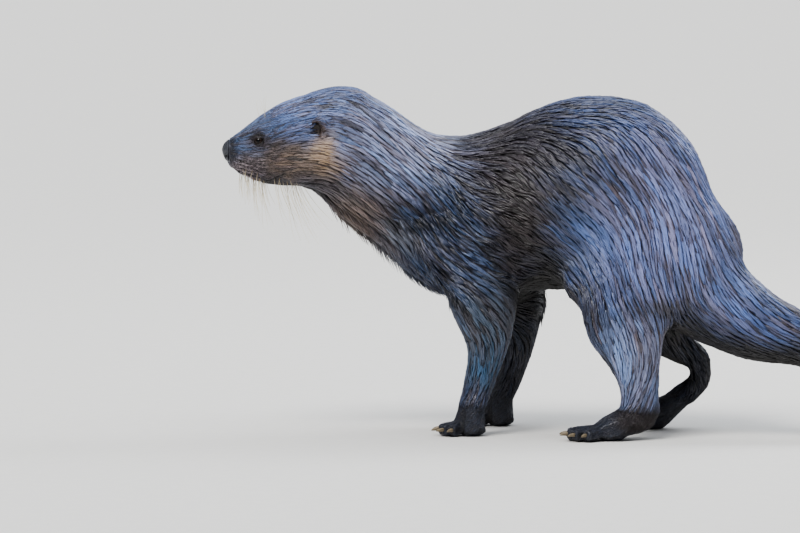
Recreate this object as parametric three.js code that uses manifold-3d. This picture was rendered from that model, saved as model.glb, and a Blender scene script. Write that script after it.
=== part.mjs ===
// A life-size river otter that stands with its head stretched forward and its back arched.
// Millimetres. +X runs from the nose to the tail, +Y from the animal's left side to its right, +Z up.
// The flesh is one smooth implicit surface, meshed part by part and divided by thin plane cuts.
import * as THREE from "three";
import { mergeVertices, toCreasedNormals } from "three/addons/utils/BufferGeometryUtils.js";
import Module from "manifold-3d";

const wasm = await Module();
wasm.setup();

// ---------- Driving dimensions ----------
const GAP = 0.35; // between neighbouring parts
const FLOOR = 0; // every sole is cut flat at this height
const SPINE_STEPS = 5; // straight lengths between two stations of a sweep
const WELD = 0.004; // vertices closer than this are one

// ---------- Small helpers ----------
const v3 = (x, y, z) => new THREE.Vector3(x, y, z);
const lerp = THREE.MathUtils.lerp;
const rad = THREE.MathUtils.degToRad;

// A sweep is a curved limb or trunk: stations of centre, half height and width over height.
// Its sections are ellipses; their wide axis is level and square to the run, or runs along `across`.
function sweep(stations, across) {
  const curve = new THREE.CatmullRomCurve3(
    stations.map((s) => v3(s.at[0], s.at[1], s.at[2])),
    false,
    "catmullrom",
    0.5,
  );
  const last = stations.length - 1;
  const count = last * SPINE_STEPS;
  const points = [];
  for (let i = 0; i <= count; i++) {
    const u = i / count;
    const k = Math.min(Math.floor(u * last), last - 1);
    const f = THREE.MathUtils.smoothstep(u * last - k, 0, 1) * 0.5 + (u * last - k) * 0.5;
    points.push({
      at: curve.getPoint(u),
      half: lerp(stations[k].half, stations[k + 1].half, f),
      wide: lerp(stations[k].wide ?? 1, stations[k + 1].wide ?? 1, f),
    });
  }
  const lengths = points.slice(1).map((b, i) => {
    const a = points[i];
    const d = b.at.clone().sub(a.at);
    const level = across ?? v3(-d.y, d.x, 0);
    const side = level.clone().addScaledVector(d, -level.dot(d) / d.lengthSq()).normalize();
    const middle = a.at.clone().add(b.at).divideScalar(2);
    const thick = Math.max(a.half, b.half);
    const stretch = Math.max(1, a.wide, b.wide);
    return { a, b, d, dd: d.lengthSq(), side, middle, thick, stretch };
  });
  return (x, y, z) => {
    let best = Infinity;
    for (const { a, b, d, dd, side, middle, thick, stretch } of lengths) {
      const away = Math.hypot(x - middle.x, y - middle.y, z - middle.z) - Math.sqrt(dd) / 2;
      if (away / stretch - thick > best) continue;
      const px = x - a.at.x;
      const py = y - a.at.y;
      const pz = z - a.at.z;
      const t = Math.min(1, Math.max(0, (px * d.x + py * d.y + pz * d.z) / dd));
      const qx = px - t * d.x;
      const qy = py - t * d.y;
      const qz = pz - t * d.z;
      const q = qx * side.x + qy * side.y + qz * side.z;
      const wide = lerp(a.wide, b.wide, t);
      const rest = qx * qx + qy * qy + qz * qz - q * q;
      const r = Math.sqrt(Math.max(0, rest) + (q / wide) ** 2) - lerp(a.half, b.half, t);
      if (r < best) best = r;
    }
    return best;
  };
}

// An ellipsoid muscle or bone: centre, half sizes, and its nose-down pitch in degrees.
function bulge(at, half, pitch = 0) {
  const c = Math.cos(THREE.MathUtils.degToRad(pitch));
  const s = Math.sin(THREE.MathUtils.degToRad(pitch));
  return (x, y, z) => {
    const dx = x - at[0];
    const dz = z - at[2];
    const px = (c * dx - s * dz) / half[0];
    const py = (y - at[1]) / half[1];
    const pz = (s * dx + c * dz) / half[2];
    const k0 = Math.hypot(px, py, pz);
    const k1 = Math.hypot(px / half[0], py / half[1], pz / half[2]);
    return k1 < 1e-9 ? -Math.min(...half) : (k0 * (k0 - 1)) / k1;
  };
}

// Smooth union, blended over about k.
const join = (a, b, k) => {
  const h = Math.max(k - Math.abs(a - b), 0) / k;
  return Math.min(a, b) - h * h * k * 0.25;
};

// A loft along X: stations of x, top, bottom and half width, with sections that are superellipses.
function loft(middleY, power, stations) {
  const last = stations.length - 1;
  const ease = (a, b, c, d, t) => {
    const v = [a, b, c, d];
    const m1 = (v[2] - v[0]) / 2;
    const m2 = (v[3] - v[1]) / 2;
    const t2 = t * t;
    const t3 = t2 * t;
    return (2 * t3 - 3 * t2 + 1) * b + (t3 - 2 * t2 + t) * m1 + (3 * t2 - 2 * t3) * c + (t3 - t2) * m2;
  };
  const at = (key, k, t) =>
    ease(
      stations[Math.max(k - 1, 0)][key],
      stations[k][key],
      stations[k + 1][key],
      stations[Math.min(k + 2, last)][key],
      t,
    );
  return (x, y, z) => {
    const inside = Math.min(Math.max(x, stations[0].x), stations[last].x);
    let k = 0;
    while (k < last - 1 && stations[k + 1].x < inside) k++;
    const t = (inside - stations[k].x) / (stations[k + 1].x - stations[k].x);
    const top = at("top", k, t);
    const bottom = at("bottom", k, t);
    const wide = at("wide", k, t);
    const high = (top - bottom) / 2;
    const py = Math.abs(y - middleY) / wide;
    const pz = Math.abs(z - (top + bottom) / 2) / high;
    const q = (py ** power + pz ** power) ** (1 / power);
    return (q - 1) * Math.min(high, wide) + Math.abs(x - inside);
  };
}

// ---------- The animal's build ----------
const HEAD_Y = 30; // the head is carried this far to the right of the mid plane

const trunk = sweep([
  { at: [-251, 30, 287], half: 54, wide: 0.92 },
  { at: [-234, 31, 272], half: 58, wide: 0.88 },
  { at: [-214, 32, 254], half: 60, wide: 0.88 },
  { at: [-183, 34, 236], half: 64, wide: 0.88 },
  { at: [-154, 34, 221], half: 73, wide: 0.85 },
  { at: [-126, 31, 214], half: 82, wide: 0.83 },
  { at: [-90, 22, 221], half: 84, wide: 0.83 },
  { at: [-55, 12, 232], half: 86, wide: 0.83 },
  { at: [-22, 3, 238], half: 96, wide: 0.78 },
  { at: [10, -7, 239], half: 97, wide: 0.77 },
  { at: [50, -18, 204], half: 71.5, wide: 0.9 },
  { at: [79, -28, 170], half: 60, wide: 0.93 },
  { at: [105, -36, 142], half: 47, wide: 0.94 },
  { at: [135, -43, 121], half: 40, wide: 0.96 },
  { at: [165, -50, 107], half: 33.5, wide: 0.98 },
  { at: [200, -57, 97], half: 26.5, wide: 1.04 },
  { at: [280, -68, 69], half: 21.5, wide: 1.12 },
  { at: [350, -72, 43], half: 17.5, wide: 1.15 },
  { at: [420, -70, 20.5], half: 13.5, wide: 1.15 },
  { at: [475, -62, 8.6], half: 9.2, wide: 1.15 },
  { at: [522, -52, 4.5], half: 5, wide: 1.1 },
]);
const skull = loft(HEAD_Y, 2.15, [
  { x: -378.5, top: 281.5, bottom: 280.5, wide: 1 },
  { x: -376, top: 287.5, bottom: 273.5, wide: 9.5 },
  { x: -370, top: 293.5, bottom: 264, wide: 16.5 },
  { x: -360, top: 300.5, bottom: 257.5, wide: 22 },
  { x: -350, top: 308.5, bottom: 252, wide: 25 },
  { x: -340, top: 316, bottom: 248, wide: 27.5 },
  { x: -330, top: 322.5, bottom: 246.5, wide: 31.5 },
  { x: -315, top: 330.5, bottom: 245, wide: 36.5 },
  { x: -300, top: 335.5, bottom: 245, wide: 42.5 },
  { x: -280, top: 341, bottom: 241, wide: 46.5 },
  { x: -258, top: 343, bottom: 232, wide: 48 },
  { x: -240, top: 338, bottom: 226, wide: 46 },
  { x: -222, top: 320, bottom: 236, wide: 38 },
  { x: -202, top: 288, bottom: 258, wide: 16 },
]);
const cheeks = [-1, 1].map((s) => bulge([-290, HEAD_Y + s * 27, 272], [30, 18, 24]));
const pads = [-1, 1].map((s) => bulge([-356, HEAD_Y + s * 14, 267], [14, 12, 10]));
const brows = [-1, 1].map((s) => bulge([-335, HEAD_Y + s * 21.5, 300], [13, 8, 7.5], -35));

function head(x, y, z) {
  let f = skull(x, y, z);
  for (const cheek of cheeks) f = join(f, cheek(x, y, z), 12);
  for (const pad of pads) f = join(f, pad(x, y, z), 6);
  for (const brow of brows) f = join(f, brow(x, y, z), 7);
  return f;
}

// The loose skin between the belly and each thigh.
const flanks = [bulge([-19, -50, 149], [24, 13, 17]), bulge([8, 42, 146], [22, 12, 15])];

const ACROSS = v3(0, 1, 0);
const legs = [
  sweep([
    { at: [-138, -12, 190], half: 44, wide: 0.6 },
    { at: [-119, -27, 147], half: 38, wide: 0.66 },
    { at: [-114, -33, 116], half: 29, wide: 0.78 },
    { at: [-113, -36, 84], half: 19, wide: 0.9 },
    { at: [-121, -38, 52], half: 16, wide: 1.05 },
    { at: [-130, -41, 22], half: 13.5, wide: 1.35 },
  ], ACROSS),
  sweep([
    { at: [-102, 66, 190], half: 42, wide: 0.7 },
    { at: [-77, 72, 140], half: 27, wide: 0.85 },
    { at: [-79, 72, 106], half: 20.5, wide: 0.88 },
    { at: [-83, 71, 74], half: 17, wide: 0.95 },
    { at: [-92, 70, 44], half: 15, wide: 1.1 },
    { at: [-101, 68, 20], half: 13, wide: 1.35 },
  ], ACROSS),
  sweep([
    { at: [46, -50, 196], half: 64, wide: 0.6 },
    { at: [24, -70, 128], half: 44, wide: 0.66 },
    { at: [30, -79, 92], half: 30, wide: 0.8 },
    { at: [35, -81, 58], half: 20.5, wide: 0.85 },
    { at: [39, -82, 27], half: 18, wide: 0.9 },
    { at: [14, -89, 15], half: 13, wide: 1.5 },
  ], ACROSS),
  sweep([
    { at: [96, 13, 183], half: 48.5, wide: 0.76 },
    { at: [50, 38, 122], half: 36, wide: 0.8 },
    { at: [84, 40, 82], half: 16, wide: 0.9 },
    { at: [106, 38, 60], half: 13, wide: 1 },
    { at: [88, 36, 36], half: 12.5, wide: 1.25 },
    { at: [60, 34, 15], half: 12, wide: 1.6 },
  ], ACROSS),
];

// ---------- Feet ----------
const TOE_LENGTHS = [0.84, 0.97, 1, 0.95, 0.8]; // from the inner toe to the outer one, over the reach
const CLAW_LENGTH = 12;
const CLAW_SINK = 3.5; // the root of a claw lies this deep in its toe
const feet = [
  { name: "forefoot_left", palm: [-129, -41, 11], heading: 187, fan: 19, reach: 28, toe: 6.2 },
  { name: "forefoot_right", palm: [-99, 68, 11], heading: 177, fan: 19, reach: 27, toe: 6.1 },
  { name: "hindfoot_left", palm: [7, -91, 11], heading: 194, fan: 17, reach: 38, toe: 6.6 },
  { name: "hindfoot_right", palm: [53, 34, 11], heading: 184, fan: 17, reach: 36, toe: 6.5 },
];

// Where each of a foot's toes points and how long it is.
function toesOf({ palm, heading, fan, reach }) {
  return TOE_LENGTHS.map((length, i) => {
    const turn = rad(heading + (i - 2) * fan);
    const run = v3(Math.cos(turn), Math.sin(turn), 0);
    const out = (r, z) => [palm[0] + run.x * r, palm[1] + run.y * r, z];
    return { turn, out, reach: reach * length };
  });
}

const balls = feet.map(({ palm }) => bulge([palm[0], palm[1], 10], [19, 20, 11]));

function flesh(x, y, z) {
  let f = join(trunk(x, y, z), head(x, y, z), 14);
  for (const leg of legs) f = join(f, leg(x, y, z), 24);
  for (const flank of flanks) f = join(f, flank(x, y, z), 20);
  for (const ball of balls) f = join(f, ball(x, y, z), 8);
  return f;
}

// ---------- Meshing ----------
const CORNERS = [0, 1, 2, 3, 4, 5, 6, 7].map((i) => [i & 1, (i >> 1) & 1, i >> 2]);
const EDGES = [
  [0, 1], [2, 3], [4, 5], [6, 7],
  [0, 2], [1, 3], [4, 6], [5, 7],
  [0, 4], [1, 5], [2, 6], [3, 7],
];

// Surface nets over a box of space, with cells of the given size along X, Y and Z.
// Each vertex is then brought onto the surface along its gradient.
function netted(field, low, high, cell) {
  const n = low.map((v, i) => Math.ceil((high[i] - v) / cell[i]) + 1);
  const closed = (x, y, z) => {
    const p = [x, y, z];
    const out = Math.max(...p.map((v, i) => Math.max(low[i] - v, v - high[i]) + cell[i] * 0.6));
    return out > 0 ? out : Math.max(out, field(x, y, z));
  };
  const place = (i, axis) => low[axis] + i * cell[axis];
  const step = [1, n[0], n[0] * n[1]];
  const value = new Float64Array(n[0] * n[1] * n[2]);
  eachPoint(n, 0, (i, j, k, g) => {
    value[g] = closed(place(i, 0), place(j, 1), place(k, 2));
  });
  unpinch(value, n, step);

  const vertices = [];
  const vertexOf = new Map();
  const offsets = CORNERS.map((corner) => corner[0] * step[0] + corner[1] * step[1] + corner[2] * step[2]);
  eachPoint(n, 1, (i, j, k, g) => {
    const f = offsets.map((offset) => value[g + offset]);
    const cut = EDGES.filter(([a, b]) => f[a] < 0 !== f[b] < 0);
    if (!cut.length) return;
    const mean = [0, 0, 0];
    for (const [a, b] of cut) {
      const t = f[a] / (f[a] - f[b]);
      for (let m = 0; m < 3; m++) mean[m] += lerp(CORNERS[a][m], CORNERS[b][m], t) / cut.length;
    }
    const at = (share) => [i, j, k].map((v, m) => place(v + share[m], m));
    vertexOf.set(g, vertices.length);
    vertices.push(settled(closed, at(mean), at([0.05, 0.05, 0.05]), at([0.95, 0.95, 0.95])));
  });

  const faces = [];
  eachPoint(n, 1, (i, j, k, g) => {
    for (let a = 0; a < 3; a++) {
      const here = value[g] < 0;
      if (here === value[g + step[a]] < 0) continue;
      const b = step[(a + 1) % 3];
      const c = step[(a + 2) % 3];
      const ring = [g - b - c, g - c, g, g - b].map((at) => vertexOf.get(at));
      if (!here) ring.reverse();
      const [p, q, r, s] = ring;
      if (span(vertices, p, r) <= span(vertices, q, s)) faces.push(p, q, r, p, r, s);
      else faces.push(p, q, s, q, r, s);
    }
  });
  return body(vertices.flat(), faces);
}

// Visits the points of a grid of n points a side, but for the last `short` along each axis.
function eachPoint(n, short, visit) {
  for (let k = 0; k < n[2] - short; k++) {
    for (let j = 0; j < n[1] - short; j++) {
      for (let i = 0; i < n[0] - short; i++) visit(i, j, k, i + n[0] * (j + n[1] * k));
    }
  }
}

// A face whose corners lie inside and outside by turns would pinch the surface: its weakest one gives way.
function unpinch(value, n, step) {
  let found = true;
  while (found) {
    found = false;
    eachPoint(n, 1, (i, j, k, g) => {
      for (let a = 0; a < 3; a++) {
        const b = step[(a + 1) % 3];
        const c = step[(a + 2) % 3];
        const ring = [g, g + b, g + b + c, g + c];
        const [p, q, r, s] = ring.map((at) => value[at] < 0);
        if (p !== r || q !== s || p === q) continue;
        const weakest = ring.reduce((x, y) => (Math.abs(value[x]) < Math.abs(value[y]) ? x : y));
        value[weakest] = value[weakest] < 0 ? 1e-3 : -1e-3;
        found = true;
      }
    });
  }
}

const body = (positions, triangles) =>
  new wasm.Manifold(
    new wasm.Mesh({
      numProp: 3,
      vertProperties: new Float32Array(positions),
      triVerts: new Uint32Array(triangles),
    }),
  );

function span(vertices, a, b) {
  return Math.hypot(...vertices[a].map((v, i) => v - vertices[b][i]));
}

// Moves a point down the field's gradient onto the surface, but keeps it between two corners.
function settled(field, start, low, high) {
  let p = start;
  for (let turn = 0; turn < 3; turn++) {
    const [x, y, z] = p;
    const e = 0.4;
    const g = [
      (field(x + e, y, z) - field(x - e, y, z)) / (2 * e),
      (field(x, y + e, z) - field(x, y - e, z)) / (2 * e),
      (field(x, y, z + e) - field(x, y, z - e)) / (2 * e),
    ];
    const gg = g[0] ** 2 + g[1] ** 2 + g[2] ** 2;
    if (gg < 0.05) break;
    const f = field(x, y, z);
    p = p.map((v, i) => THREE.MathUtils.clamp(v - (f * g[i]) / gg, low[i], high[i]));
  }
  return p;
}

// ---------- Solids ----------
// A three.js geometry as a closed body, without its collapsed triangles.
function solid(geometry) {
  const bare = geometry.clone();
  bare.deleteAttribute("normal");
  bare.deleteAttribute("uv");
  const merged = mergeVertices(bare, 1e-4);
  const index = merged.index.array;
  const kept = [];
  for (let i = 0; i < index.length; i += 3) {
    const [a, b, c] = [index[i], index[i + 1], index[i + 2]];
    if (a !== b && b !== c && c !== a) kept.push(a, b, c);
  }
  return body(merged.attributes.position.array, kept);
}

// A big block whose one face lies on a plane; the normal points out of the block.
function behind(at, normal) {
  const size = 1600;
  const block = new THREE.BoxGeometry(size, size, size).translate(0, 0, -size / 2);
  const turn = new THREE.Quaternion().setFromUnitVectors(v3(0, 0, 1), v3(...normal).normalize());
  return solid(block.applyQuaternion(turn).translate(...at));
}

// A block given by two corners.
function block(low, high) {
  const size = high.map((v, i) => v - low[i]);
  const middle = low.map((v, i) => (v + high[i]) / 2);
  return solid(new THREE.BoxGeometry(...size).translate(...middle));
}

// The cuts across the spine, from the nape to the end of the tail.
const CUTS = [
  { at: [-262, 30, 290], normal: [0.85, 0, -0.53] },
  { at: [-205, 32, 250], normal: [0.86, 0, -0.5] },
  { at: [-82, 20, 225], normal: [0.96, -0.26, 0.06] },
  { at: [2, -5, 238], normal: [0.95, -0.25, -0.15] },
  { at: [92, -32, 155], normal: [0.74, -0.22, -0.64] },
  { at: [165, -50, 107], normal: [0.93, -0.2, -0.3] },
  { at: [270, -67, 72], normal: [0.94, -0.1, -0.33] },
  { at: [380, -72, 35], normal: [0.95, 0.03, -0.3] },
];
const shifted = ({ at, normal }, by) => {
  const n = v3(...normal).normalize();
  return at.map((v, i) => v + n.getComponent(i) * by);
};
const flip = (normal) => normal.map((v) => -v);
const above = block([-600, -400, FLOOR], [800, 400, 600]);

function between(i, low, high, cell) {
  let part = netted(flesh, low, high, cell);
  if (i > 0) part = part.intersect(behind(shifted(CUTS[i - 1], GAP / 2), flip(CUTS[i - 1].normal)));
  if (i < CUTS.length) part = part.intersect(behind(shifted(CUTS[i], -GAP / 2), CUTS[i].normal));
  return part.intersect(above);
}

// The blocks that take the legs from the body, and the heights that divide each leg.
const LEGS = [
  { name: "foreleg_left", foot: 0, low: [-196, -120, -10], high: [-66, 8, 142], knee: 92, ankle: 36 },
  { name: "foreleg_right", foot: 1, low: [-135, 44, -10], high: [-30, 130, 130], knee: 84, ankle: 36 },
  { name: "hindleg_left", foot: 2, low: [-60, -150, -10], high: [72, -34, 134], knee: 82, ankle: 34 },
  { name: "hindleg_right", foot: 3, low: [-10, 10, -10], high: [136, 100, 130], knee: 60, ankle: 32 },
];
const legBlock = ({ low, high }, by) => block(low.map((v) => v - by), high.map((v) => v + by));

// ---------- Colours ----------
const finish = (name, color, roughness) =>
  new THREE.MeshStandardMaterial({ name, color, roughness, metalness: 0 });
const COAT = finish("coat", 0x4d4f5b, 0.5);
const HIDE = finish("paw_hide", 0x2b2c33, 0.6);
const NOSE = finish("nose_leather", 0x23242a, 0.4);
const EYE = finish("eye", 0x0d0b0a, 0.08);
const CLAW = finish("claw_horn", 0x8f8674, 0.35);

// ---------- Parts ----------
const group = new THREE.Group();
group.name = "river_otter";

// Welds the hairline edges that the cuts leave, and drops the triangles that fold flat with them.
function welded(part) {
  const mesh = part.getMesh();
  const raw = new THREE.BufferGeometry();
  raw.setAttribute("position", new THREE.Float32BufferAttribute(mesh.vertProperties, mesh.numProp));
  raw.setIndex(Array.from(mesh.triVerts));
  const geometry = mergeVertices(raw, WELD);
  const index = geometry.index.array;
  const kept = new Map();
  for (let i = 0; i < index.length; i += 3) {
    const t = [index[i], index[i + 1], index[i + 2]];
    if (new Set(t).size < 3) continue;
    const key = [...t].sort((a, b) => a - b).join();
    if (kept.has(key)) kept.delete(key);
    else kept.set(key, t);
  }
  geometry.setIndex([...kept.values()].flat());
  return geometry;
}

function add(name, part, material) {
  const piece = new THREE.Mesh(toCreasedNormals(welded(part), rad(40)), material);
  piece.name = name;
  group.add(piece);
}

// Small organs of the head, each in its own socket.
const EAR = { x: -281, out: 45, z: 305, half: [9.5, 6.5, 10.5] };
const CUP = { x: -284.5, out: 50.5, z: 304.5, half: [6.5, 5, 7] };
const EYEBALL = { x: -340, out: 24, z: 291, radius: 5.2 };
const NOSE_PAD = { low: [-400, -10, 270.5], high: [-371, 70, 310] };
const JAW = {
  low: [-350, -60, 200],
  high: [-302, 120, 290],
  at: [-348, 30, 254],
  normal: [-0.171, 0, 0.985],
};

function egg(x, y, z, half, grow, rings) {
  const shape = new THREE.SphereGeometry(1, rings * 2 - 2, rings);
  return solid(shape.scale(...half.map((v) => v + grow)).translate(x, y, z));
}
const ear = (s, grow) => egg(EAR.x, HEAD_Y + s * EAR.out, EAR.z, EAR.half, grow, 5);
const cup = (s) => egg(CUP.x, HEAD_Y + s * CUP.out, CUP.z, CUP.half, 0, 6);
const eye = (s, grow) =>
  egg(EYEBALL.x, HEAD_Y + s * EYEBALL.out, EYEBALL.z, [1, 1, 1].map(() => EYEBALL.radius), grow, 5);

const jawRegion = (by) =>
  block(JAW.low.map((v) => v - by), JAW.high.map((v) => v + by)).intersect(
    behind(shifted(JAW, by), JAW.normal),
  );
const noseRegion = (by) => block(NOSE_PAD.low.map((v) => v - by), NOSE_PAD.high.map((v) => v + by));

let skullPart = between(0, [-396, -40, 205], [-205, 104, 362], [14.5, 12.6, 12]);
skullPart = skullPart.subtract(jawRegion(GAP / 2)).subtract(noseRegion(GAP / 2));
for (const s of [-1, 1]) skullPart = skullPart.subtract(ear(s, GAP)).subtract(eye(s, GAP));
add("head", skullPart, COAT);
const jaw = netted(flesh, [-372, -26, 220], [-282, 86, 284], [10, 10, 8]);
add("jaw", jaw.intersect(jawRegion(-GAP / 2)), COAT);
const nosePad = netted(flesh, [-392, -2, 252], [-356, 62, 308], [5, 5.4, 5.4]);
add("nose_pad", nosePad.intersect(noseRegion(-GAP / 2)), NOSE);
for (const [side, s] of [["left", -1], ["right", 1]]) {
  add(`ear_${side}`, ear(s, 0).subtract(cup(s)), COAT);
  add(`eye_${side}`, eye(s, 0), EYE);
}

// The body from the neck to the hips, with the legs' blocks taken out.
const BODY = [
  { name: "neck", low: [-340, -60, 120], high: [-110, 130, 380], cell: [22, 16.5, 16.5] },
  { name: "chest", low: [-310, -100, 80], high: [-10, 150, 370], cell: [27, 21, 21] },
  { name: "loin", low: [-150, -120, 80], high: [80, 140, 380], cell: [30, 21, 21] },
  { name: "rump", low: [-60, -140, 50], high: [200, 110, 380], cell: [25, 20, 20] },
  { name: "tail_root", low: [30, -135, 10], high: [235, 70, 260], cell: [23, 18, 18] },
  { name: "tail_middle", low: [110, -130, 0], high: [345, 25, 180], cell: [28, 15, 15] },
  { name: "tail_end", low: [210, -125, -14], high: [455, -5, 130], cell: [28, 13.5, 13.5] },
  { name: "tail_tip", low: [320, -115, -14], high: [565, -15, 80], cell: [22, 10, 10] },
];
BODY.forEach(({ name, low, high, cell }, i) => {
  let part = between(i + 1, low, high, cell);
  for (const leg of LEGS) part = part.subtract(legBlock(leg, GAP / 2));
  add(name, part, COAT);
});

// A shape that lies along +X from the origin: radii over the length, from the root to the tip.
function finger(profile, sides) {
  const points = profile.map(([h, r]) => new THREE.Vector2(r, h));
  return new THREE.LatheGeometry(points, sides).rotateZ(-Math.PI / 2);
}

// A toe with its two joints; it slopes down to the floor.
function toe({ turn, out, reach }, radius) {
  const start = 6;
  const length = reach + radius - start;
  const shape = finger(
    [
      [0, 0],
      [0.5, radius],
      [length * 0.5, radius * 1.04],
      [length - radius * 0.5, radius * 0.96],
      [length, 0],
    ],
    6,
  );
  const slope = Math.atan2(10.5 - radius, length);
  return solid(shape.rotateY(slope).rotateZ(turn).translate(...out(start, 10)));
}

// The web between the toes is a thin fan.
function web({ palm, heading, fan, reach }) {
  const from = rad(heading - 2 * fan);
  const to = rad(heading + 2 * fan);
  const fanShape = new THREE.Shape().moveTo(0, 0).absarc(0, 0, reach * 0.86, from, to, false).closePath();
  const plate = new THREE.ExtrudeGeometry(fanShape, { depth: 3.4, bevelEnabled: false, curveSegments: 3 });
  return solid(plate.translate(palm[0], palm[1], 1.6));
}

// A bent cone of horn.
function claw({ turn, out, reach }, radius, grow) {
  const shape = finger([[-grow, 0], [0.3, 2.3 + grow], [6, 1.7 + grow], [CLAW_LENGTH, 0]], 5);
  const position = shape.attributes.position;
  for (let i = 0; i < position.count; i++) {
    const x = position.getX(i);
    position.setZ(i, position.getZ(i) * 1.2 + 0.35 * x - 0.045 * x * x);
    position.setY(i, position.getY(i) * 0.8);
  }
  return solid(shape.rotateZ(turn).translate(...out(reach + radius - CLAW_SINK, radius + 0.6)));
}

for (const leg of LEGS) {
  const { name, low, high, knee, ankle } = leg;
  const floorCorner = [low[0] - 20, low[1] - 20, ankle - 30];
  const limb = netted(flesh, floorCorner, high.map((v) => v + 22), [15, 15, 18.5]);
  const inside = limb.intersect(legBlock(leg, -GAP / 2));
  const level = (from, to) => block([-600, -400, from + GAP / 2], [800, 400, to - GAP / 2]);
  add(`${name}_upper`, inside.intersect(level(knee, 400)), COAT);
  add(`${name}_lower`, inside.intersect(level(ankle, knee)), COAT);
  const foot = feet[leg.foot];
  const [x, y] = foot.palm;
  let paw = netted(flesh, [x - 60, y - 55, -18], [x + 90, y + 55, ankle + 20], [14, 14, 10]).add(web(foot));
  for (const place of toesOf(foot)) paw = paw.add(toe(place, foot.toe));
  paw = paw.intersect(legBlock(leg, -GAP / 2)).intersect(level(FLOOR - GAP / 2, ankle));
  toesOf(foot).forEach((place, i) => {
    paw = paw.subtract(claw(place, foot.toe, GAP));
    add(`claw_${foot.name}_${i + 1}`, claw(place, foot.toe, 0), CLAW);
  });
  add(foot.name, paw, HIDE);
}

// The origin is under the middle of the animal, on the floor.
const box = new THREE.Box3().setFromObject(group);
const centre = box.getCenter(v3(0, 0, 0));
group.position.set(-centre.x, -centre.y, -box.min.z);

export default group;
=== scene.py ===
"""A wet river otter: one skin, a coat of solid mesh locks over it, a nose, eyes, claws and whiskers."""

import math

import bmesh
import bpy
import numpy as np
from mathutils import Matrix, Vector
from mathutils.bvhtree import BVHTree
from mathutils.kdtree import KDTree
from numpy.linalg import norm


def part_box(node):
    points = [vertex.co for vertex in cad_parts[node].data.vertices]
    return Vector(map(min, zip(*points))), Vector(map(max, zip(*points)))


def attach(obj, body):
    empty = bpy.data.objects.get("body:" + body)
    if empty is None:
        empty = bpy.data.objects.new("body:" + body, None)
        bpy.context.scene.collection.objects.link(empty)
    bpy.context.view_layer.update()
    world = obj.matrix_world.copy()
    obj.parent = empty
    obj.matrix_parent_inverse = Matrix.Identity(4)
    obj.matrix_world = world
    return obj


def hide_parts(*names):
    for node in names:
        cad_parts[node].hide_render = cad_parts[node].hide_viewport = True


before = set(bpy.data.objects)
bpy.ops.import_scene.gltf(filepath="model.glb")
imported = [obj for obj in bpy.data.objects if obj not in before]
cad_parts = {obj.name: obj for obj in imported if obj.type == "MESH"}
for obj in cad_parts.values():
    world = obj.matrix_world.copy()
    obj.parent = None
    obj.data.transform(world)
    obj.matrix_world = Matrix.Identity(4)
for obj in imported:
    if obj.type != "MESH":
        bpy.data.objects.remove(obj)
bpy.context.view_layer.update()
random = np.random.default_rng(11)
MM = 0.001


# ---------- Places taken from the frame ----------
def box(node):
    low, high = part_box(node)
    return np.array(low), np.array(high)


def middle(node):
    low, high = box(node)
    return (low + high) / 2


NOSE_LOW, NOSE_HIGH = box("nose_pad")
HEAD_Y = middle("nose_pad")[1]
NOSE_TIP = np.array([NOSE_LOW[0], HEAD_Y, NOSE_LOW[2] + 0.45 * (NOSE_HIGH[2] - NOSE_LOW[2])])
EYES = {side: middle(f"eye_{side}") for side in ("left", "right")}
EYE_RADIUS = (box("eye_left")[1] - box("eye_left")[0])[0] / 2
EARS = {side: middle(f"ear_{side}") for side in ("left", "right")}
SIDES = {"left": -1.0, "right": 1.0}

# The photograph's frame: one millimetre of the animal's middle plane to a pixel. The camera aims a little
# nearer than the plane and above it, by TARGET_SHIFT.
FRAME_CENTRE_PX = (400.0, 266.5)
NOSE_TIP_PX_X = 221.5
FLOOR_PX_Y = 432.0
ELEVATION, TARGET_SHIFT = math.radians(4), (-30 * MM, 0.4 * MM)
LENS_MM, SENSOR_MM, VIEW_WIDTH = 300.0, 36.0, 800 * MM


# ---------- Mesh helpers ----------
def triangles_of(mesh):
    mesh.calc_loop_triangles()
    co = np.empty(len(mesh.vertices) * 3, np.float32)
    mesh.vertices.foreach_get("co", co)
    tri = np.empty(len(mesh.loop_triangles) * 3, np.int32)
    mesh.loop_triangles.foreach_get("vertices", tri)
    return co.reshape(-1, 3).astype(float), tri.reshape(-1, 3)


def new_object(name, points, faces, material=None):
    """An object from its points and its faces, all with the same number of corners."""
    faces = np.asarray(faces, np.int32)
    mesh = bpy.data.meshes.new(name)
    mesh.vertices.add(len(points))
    mesh.vertices.foreach_set("co", np.asarray(points, np.float32).ravel())
    mesh.loops.add(faces.size)
    mesh.loops.foreach_set("vertex_index", faces.ravel())
    mesh.polygons.add(len(faces))
    mesh.polygons.foreach_set("loop_start", np.arange(0, faces.size, faces.shape[1], dtype=np.int32))
    mesh.update(calc_edges=True)
    mesh.shade_smooth()
    obj = bpy.data.objects.new(name, mesh)
    bpy.context.collection.objects.link(obj)
    if material:
        mesh.materials.append(material)
    return obj


def put_attribute(obj, name, values, kind="FLOAT", field="value"):
    layer = obj.data.attributes.new(name, kind, "POINT")
    layer.data.foreach_set(field, np.asarray(values, np.float32).ravel())


def unit(v):
    return v / np.maximum(norm(v, axis=-1, keepdims=True), 1e-12)


def dot(a, b):
    return np.einsum("ij,ij->i", a, b)


def vertex_normals(points, tri):
    a, b, c = (points[tri[:, i]] for i in range(3))
    face = np.cross(b - a, c - a)
    total = np.zeros_like(points)
    for i in range(3):
        for axis in range(3):
            total[:, axis] += np.bincount(tri[:, i], face[:, axis], len(points))
    return unit(total)


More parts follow.
